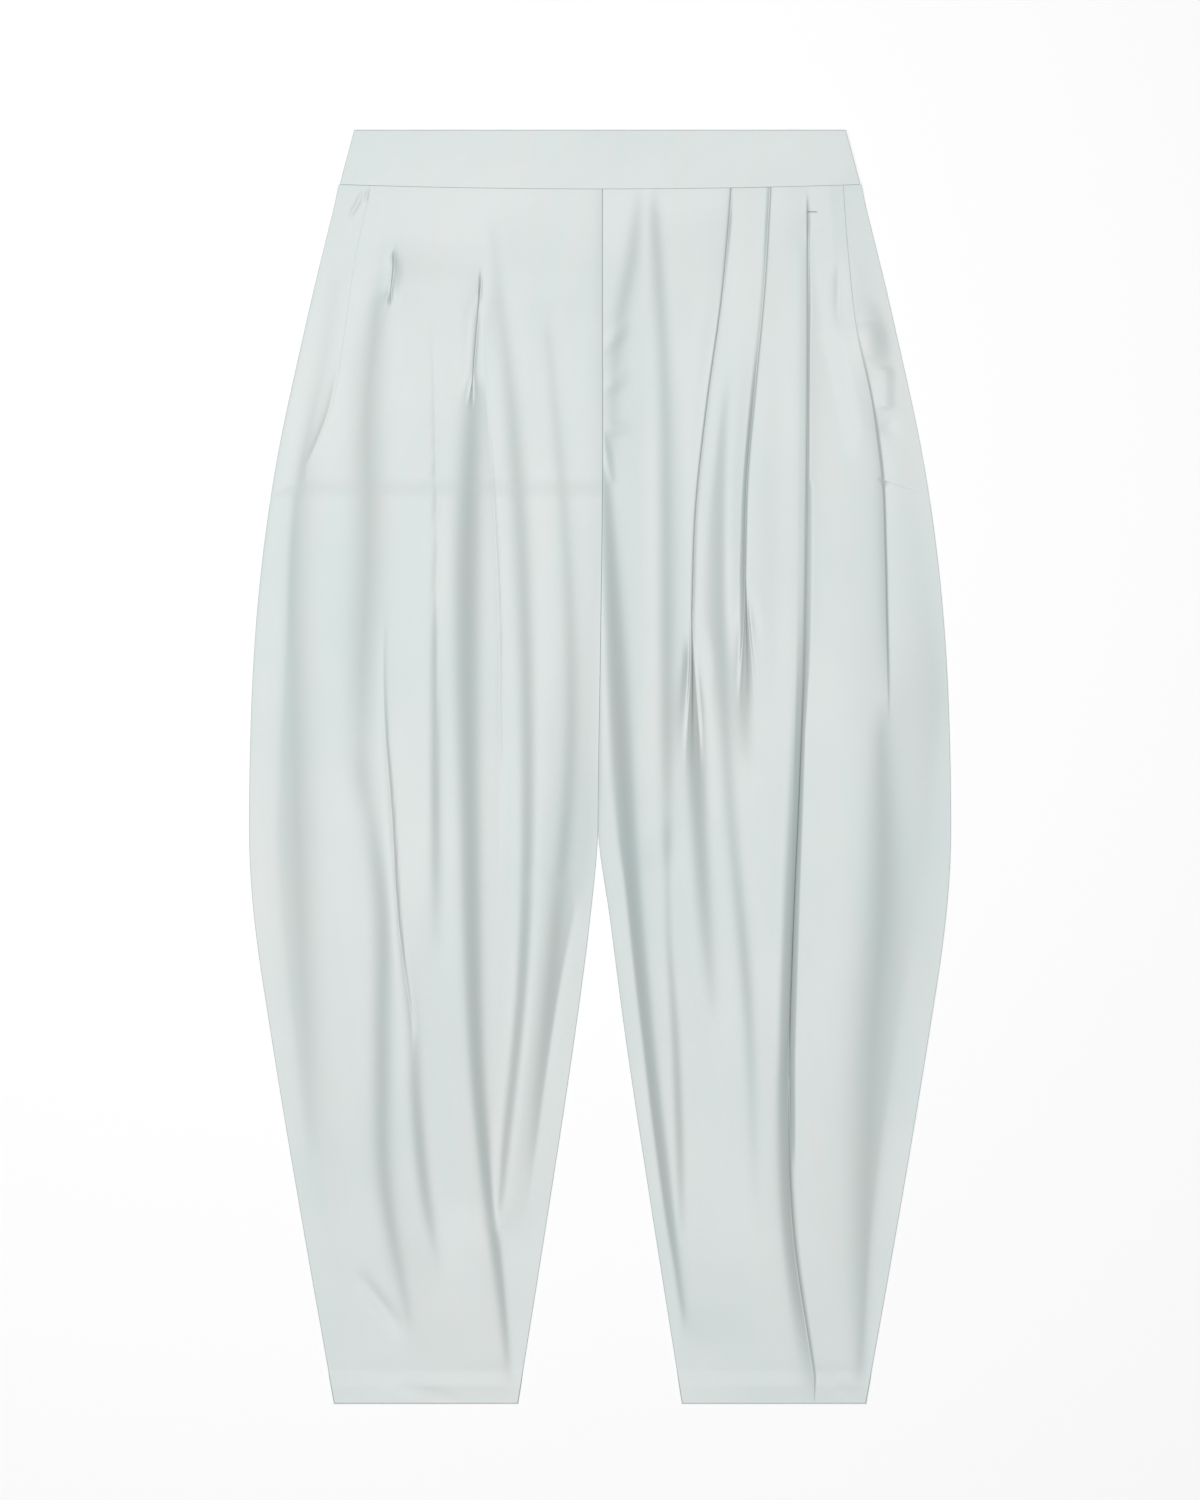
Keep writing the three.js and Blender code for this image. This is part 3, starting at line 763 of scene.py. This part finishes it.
# %% Socket wrapper
class Socket:
    """One output socket of a material's node tree, with arithmetic."""

    def __init__(self, tree, socket):
        self.tree, self.socket = tree, socket

    def node(self, kind, settings=None, **inputs):
        """Adds a node: its settings first, then values or links of its sockets by name or place."""
        made = self.tree.nodes.new(kind)
        for key, value in (settings or {}).items():
            setattr(made, key, value)
        for key, value in inputs.items():
            numbered = key[0] == "i" and key[1:].isdigit()
            target = made.inputs[int(key[1:]) if numbered else key.replace("_", " ")]
            if isinstance(value, Socket):
                self.tree.links.new(value.socket, target)
            else:
                target.default_value = value
        return made

    def out(self, made, place=0):
        return Socket(self.tree, made.outputs[place])

    def maths(self, operation, a, b):
        return self.out(self.node("ShaderNodeMath", {"operation": operation}, i0=a, i1=b))

    def __add__(self, other):
        return self.maths("ADD", self, other)

    def __radd__(self, other):
        return self.maths("ADD", other, self)

    def __sub__(self, other):
        return self.maths("SUBTRACT", self, other)

    def __mul__(self, other):
        return self.maths("MULTIPLY", self, other)

    def __rmul__(self, other):
        return self.maths("MULTIPLY", other, self)

    def sine(self):
        return self.out(self.node("ShaderNodeMath", {"operation": "SINE"}, i0=self))


# %% [markdown]
# ## Cloth
#
# Satin-backed crepe is smooth, with a soft sheen that fades quickly as the cloth turns away, a fine grain
# of twisted yarns and faint streaks along the weft. The grain is read from the cloth's own UV map, in
# metres, so it follows the folds. Larger, very weak clouds shift the mint towards grey. All of them feed
# Base Color, Roughness and one Bump.

# %% Cloth material
MINT = (0.398, 0.474, 0.466, 1)
GREY_MINT = (0.434, 0.461, 0.452, 1)
YARN = 0.0007


def cloth_material(name, light, dark, rough):
    material = bpy.data.materials.new(name)
    material.use_nodes = True
    tree = material.node_tree
    shader = tree.nodes["Principled BSDF"]
    places = tree.nodes.new("ShaderNodeTexCoord")
    here = Socket(tree, places.outputs["Object"])
    flat = Socket(tree, places.outputs["UV"])
    clouds = here.out(here.node("ShaderNodeTexNoise", Vector=here, Scale=5.0, Detail=3.0, Roughness=0.55))
    stretched = here.out(here.node("ShaderNodeMapping", Vector=flat, Scale=(14, 900, 1)))
    streaks = here.out(here.node("ShaderNodeTexNoise", Vector=stretched, Scale=1.0, Detail=2.0))
    parts = here.node("ShaderNodeSeparateXYZ", Vector=flat)
    warp, weft = here.out(parts, 0), here.out(parts, 1)
    turns = 2 * math.pi / YARN
    twill = ((warp + weft) * turns).sine() * ((warp - weft) * (0.5 * turns)).sine()
    grain = here.out(here.node("ShaderNodeTexNoise", Vector=flat, Scale=1700.0, Detail=2.0))
    relief = 0.35 * twill + 0.9 * grain + 0.35 * streaks
    lengthwise = here.out(here.node("ShaderNodeMapping", Vector=flat, Scale=(55, 2.5, 1)))
    stripes = here.out(here.node("ShaderNodeTexNoise", Vector=lengthwise, Scale=1.0, Detail=3.0))
    mixed = (clouds - 0.5) * 1.8 + (stripes - 0.5) * 1.5 + (streaks - 0.5) * 0.5 + 0.5
    colour = here.node("ShaderNodeMix", {"data_type": "RGBA", "clamp_factor": True}, Factor=mixed)
    tint = [socket for socket in colour.inputs if socket.type == "RGBA"]
    tint[0].default_value, tint[1].default_value = dark, light
    tree.links.new(next(s for s in colour.outputs if s.type == "RGBA"), shader.inputs["Base Color"])
    tree.links.new((rough + (grain - 0.5) * 0.06 + (clouds - 0.5) * 0.05).socket, shader.inputs["Roughness"])
    bump = here.node("ShaderNodeBump", Height=relief, Strength=0.25, Distance=0.00006)
    tree.links.new(bump.outputs["Normal"], shader.inputs["Normal"])
    shader.inputs["Specular IOR Level"].default_value = 0.40
    shader.inputs["Sheen Weight"].default_value = 0.03
    shader.inputs["Sheen Roughness"].default_value = 0.5
    return material


CREPE = cloth_material("satin_backed_crepe", MINT, GREY_MINT, 0.36)
pieces = [*fronts.values(), *backs.values(), *pocket_sides.values(), *bands.values()]
for piece in pieces:
    piece.data.materials.append(CREPE)
print("cloth on", len(pieces), "pieces")

# %% [markdown]
# ## Stitches
#
# Little sewing shows on these trousers. A bar tack closes the top of the outer pleat, and each turned-up
# hem is held by a row of blind stitches, of which only tiny picks of thread come through. Both are one
# stitch repeated along a path, so one Geometry Nodes tree makes them all: it walks the path at even steps
# and sets a short rounded thread on each.

# %% One tree for every row of stitches
def stitch_tree():
    """Geometry Nodes: a short thread on every step of a path, turned from the path by a given angle."""
    tree = bpy.data.node_groups.new("stitch_row", "GeometryNodeTree")
    sockets = {}
    for name, kind, value in (
        ("Geometry", "NodeSocketGeometry", None),
        ("Step", "NodeSocketFloat", 0.005),
        ("Stitch Length", "NodeSocketFloat", 0.001),
        ("Thread Radius", "NodeSocketFloat", 0.0001),
        ("Turn", "NodeSocketFloat", 0.0),
        ("Unevenness", "NodeSocketFloat", 0.1),
        ("Seed", "NodeSocketInt", 1),
        ("Thread", "NodeSocketMaterial", None),
    ):
        socket = tree.interface.new_socket(name, in_out="INPUT", socket_type=kind)
        if value is not None:
            socket.default_value = value
        sockets[name] = socket.identifier
    tree.interface.new_socket("Geometry", in_out="OUTPUT", socket_type="NodeSocketGeometry")

    def add(kind, settings=None, **links):
        made = tree.nodes.new(kind)
        for key, value in (settings or {}).items():
            setattr(made, key, value)
        for key, value in links.items():
            target = made.inputs[key.replace("_", " ")]
            if isinstance(value, bpy.types.NodeSocket):
                tree.links.new(value, target)
            else:
                target.default_value = value
        return made

    given = add("NodeGroupInput").outputs
    path = add("GeometryNodeMeshToCurve", Mesh=given["Geometry"])
    steps = add("GeometryNodeResampleCurve", {"mode": "LENGTH"}, Curve=path.outputs[0], Length=given["Step"])
    half = add("ShaderNodeMath", {"operation": "MULTIPLY"})
    tree.links.new(given["Stitch Length"], half.inputs[0])
    half.inputs[1].default_value = 0.5
    end = add("ShaderNodeCombineXYZ", X=half.outputs[0])
    start = add("ShaderNodeVectorMath", {"operation": "SCALE"}, Scale=-1.0)
    tree.links.new(end.outputs[0], start.inputs[0])
    line = add("GeometryNodeCurvePrimitiveLine", Start=start.outputs[0], End=end.outputs[0])
    ring = add("GeometryNodeCurvePrimitiveCircle", Resolution=8, Radius=given["Thread Radius"])
    thread = add("GeometryNodeCurveToMesh", Curve=line.outputs[0], Profile_Curve=ring.outputs[0],
                 Fill_Caps=True)
    tangent = add("GeometryNodeInputTangent")
    aligned = add("FunctionNodeAlignRotationToVector", {"axis": "X"}, Vector=tangent.outputs[0])
    low = add("ShaderNodeMath", {"operation": "MULTIPLY"})
    tree.links.new(given["Unevenness"], low.inputs[0])
    low.inputs[1].default_value = -1.0
    uneven = add("FunctionNodeRandomValue", {"data_type": "FLOAT"}, Seed=given["Seed"])
    tree.links.new(low.outputs[0], uneven.inputs[2])
    tree.links.new(given["Unevenness"], uneven.inputs[3])
    angle = add("ShaderNodeMath", {"operation": "ADD"})
    tree.links.new(given["Turn"], angle.inputs[0])
    tree.links.new(uneven.outputs[1], angle.inputs[1])
    spin = add("FunctionNodeAxisAngleToRotation", Axis=(0, 0, 1), Angle=angle.outputs[0])
    turned = add("FunctionNodeRotateRotation", {"rotation_space": "LOCAL"}, Rotation=aligned.outputs[0],
                 Rotate_By=spin.outputs[0])
    row = add("GeometryNodeInstanceOnPoints", Points=steps.outputs[0], Instance=thread.outputs[0],
              Rotation=turned.outputs[0])
    real = add("GeometryNodeRealizeInstances", Geometry=row.outputs[0])
    smooth = add("GeometryNodeSetShadeSmooth", Geometry=real.outputs[0])
    named = add("GeometryNodeSetMaterial", Geometry=smooth.outputs[0], Material=given["Thread"])
    last = tree.nodes.new("NodeGroupOutput")
    tree.links.new(named.outputs[0], last.inputs[0])
    return tree, sockets


STITCH_TREE, STITCH_SOCKETS = stitch_tree()
UNEVENNESS = 0.12


def stitch_row(name, path, thread, step, length, radius, turn, seed):
    """Runs the tree on a path of points in millimetres, and keeps only the mesh that it makes."""
    mesh = bpy.data.meshes.new(name)
    mesh.from_pydata((np.asarray(path) * MM).tolist(), [(k, k + 1) for k in range(len(path) - 1)], [])
    piece = bpy.data.objects.new(name, mesh)
    bpy.context.scene.collection.objects.link(piece)
    modifier = piece.modifiers.new("stitches", "NODES")
    modifier.node_group = STITCH_TREE
    values = {"Step": step * MM, "Stitch Length": length * MM, "Thread Radius": radius * MM,
              "Turn": math.radians(turn), "Unevenness": UNEVENNESS, "Seed": seed, "Thread": thread}
    for key, value in values.items():
        modifier[STITCH_SOCKETS[key]] = value
    ready = piece.evaluated_get(bpy.context.evaluated_depsgraph_get())
    made = bpy.data.meshes.new_from_object(ready)
    piece.modifiers.clear()
    piece.data = made
    print(name, len(made.vertices), "points,", len(made.polygons), "faces")
    return piece


# %% Bar tack and hem stitches
THREAD = cloth_material("thread", (0.24, 0.29, 0.28, 1), (0.27, 0.32, 0.31, 1), 0.5)
HEM_THREAD = cloth_material("hem_thread", MINT, GREY_MINT, 0.45)
TACK = {"out": (162.8, 170.2), "down": 64.4}
HEM_STITCH_EVERY = 7.0


def lying_on(leg, out, down, lift):
    """Points on top of a front's cloth, raised a little."""
    down = down + 0 * out
    x = leg.side * out
    return np.stack([x, LENGTH / 2 - down, height(leg, out, down) + CLOTH / 2 + lift], axis=-1)


left_leg = LEGS[1]
tack_path = lying_on(left_leg, np.linspace(*TACK["out"], 6), TACK["down"], 0.12)
tack_path[:, 2] = tack_path[:, 2].max()
sewn = [stitch_row("outer_pleat_bar_tack", tack_path, THREAD, 0.45, 1.1, 0.13, 55.0, 3)]
for leg in LEGS:
    down = LENGTH - HEM_TURN + 1.5
    out = np.linspace(side_seam(down) - 4, float(inner_edge(leg, down)) + 4, 60)
    row = lying_on(leg, out, down, 0.1)
    name = f"hem_stitches_{leg.name}"
    sewn.append(stitch_row(name, row, HEM_THREAD, HEM_STITCH_EVERY, 0.9, 0.12, 35.0, 7))

# %% [markdown]
# ## Floor
#
# The trousers lie on a plain pale matte floor, wide enough to fill every view. It only dresses the picture.

# %% Floor
FLOOR_SIZE = 6.0
FLOOR_SHADE = 0.93
mesh = bpy.data.meshes.new("floor")
reach = FLOOR_SIZE / 2
corners = [(-reach, -reach, 0), (reach, -reach, 0), (reach, reach, 0), (-reach, reach, 0)]
mesh.from_pydata(corners, [], [(0, 1, 2, 3)])
floor = bpy.data.objects.new("floor", mesh)
bpy.context.scene.collection.objects.link(floor)
pale = bpy.data.materials.new("pale_floor")
pale.use_nodes = True
matte = pale.node_tree.nodes["Principled BSDF"].inputs
matte["Base Color"].default_value = (FLOOR_SHADE, FLOOR_SHADE, FLOOR_SHADE, 1)
matte["Roughness"].default_value = 0.9
matte["Specular IOR Level"].default_value = 0.1
mesh.materials.append(pale)

# %% [markdown]
# ## What each piece stands for
#
# Every cloth rides on the one rigid body and replaces its own plain solid, which is hidden. The table also
# lists the size that each sheet was cut to.

# %% Ride and replace
SHEETS = {
    "front_leg_right": (0.300, 0.957, 0.219),
    "front_leg_left": (0.330, 0.957, 0.235),
    "back_leg_right": (0.280, 0.957, 0.225),
    "back_leg_left": (0.280, 0.957, 0.225),
    "pocket_side_right": (0.088, 0.251, 0.0098),
    "pocket_side_left": (0.078, 0.251, 0.0096),
    "waistband_front": (0.411, 0.0465, 0.0180),
    "waistband_back": (0.411, 0.0465, 0.0180),
}

for node, (width, length, area) in SHEETS.items():
    piece = bpy.data.objects[f"{node}_cloth"]
    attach(piece, "root")
    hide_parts(node)
for piece in sewn:
    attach(piece, "root")
print("sheets declared:", len(SHEETS), "rows of stitches:", len(sewn))

# %% [markdown]
# ## Light and camera
#
# A flat lay is lit by one broad soft light above, here with a small lamp near the waist on the viewer's
# left, which lets the light fall off a little towards the hems. The room stays dimmer than the lights, so
# that cloth which turns away goes darker, as satin does. The camera looks straight down through a long
# lens.

# %% Lights
def sun(name, energy, wide, lean):
    """Far soft light straight above, with its angular size and its lean to -X and +Y in degrees."""
    data = bpy.data.lights.new(name, "SUN")
    data.energy = energy
    data.angle = math.radians(wide)
    light = bpy.data.objects.new(name, data)
    light.rotation_euler = (math.radians(-lean[1]), math.radians(lean[0]), 0)
    light.location = (0, 0, 3)
    bpy.context.scene.collection.objects.link(light)


def round_lamp(name, watts, wide, location, lean):
    """Near round soft light, with its lean in degrees about X and Y."""
    data = bpy.data.lights.new(name, "AREA")
    data.shape, data.size, data.energy = "DISK", wide, watts
    light = bpy.data.objects.new(name, data)
    light.location = location
    light.rotation_euler = (math.radians(lean[0]), math.radians(lean[1]), 0)
    bpy.context.scene.collection.objects.link(light)


ROOM_LIGHT = 0.22
sun("key", 2.22, 13.0, (-1.0, 1.0))
round_lamp("fill", 3.8, 1.0, (-0.35, 0.30, 1.35), (-6.0, -8.0))
world = bpy.data.worlds.new("room")
world.use_nodes = True
world.node_tree.nodes["Background"].inputs["Color"].default_value = (1, 1, 1, 1)
world.node_tree.nodes["Background"].inputs["Strength"].default_value = ROOM_LIGHT
bpy.context.scene.world = world
bpy.context.scene.view_settings.view_transform = "Standard"

# %% Camera
PICTURE = {"high": 1.17825, "centre_y": 0.013, "lens": 400.0, "sensor": 36.0}
distance = PICTURE["high"] / 2 / (PICTURE["sensor"] / 2 / PICTURE["lens"])
data = bpy.data.cameras.new("camera")
data.lens = PICTURE["lens"]
data.sensor_width = PICTURE["sensor"]
camera = bpy.data.objects.new("camera", data)
camera.location = (0, PICTURE["centre_y"], distance)
bpy.context.scene.collection.objects.link(camera)
bpy.context.scene.camera = camera
print("camera height", round(distance, 3), "m")
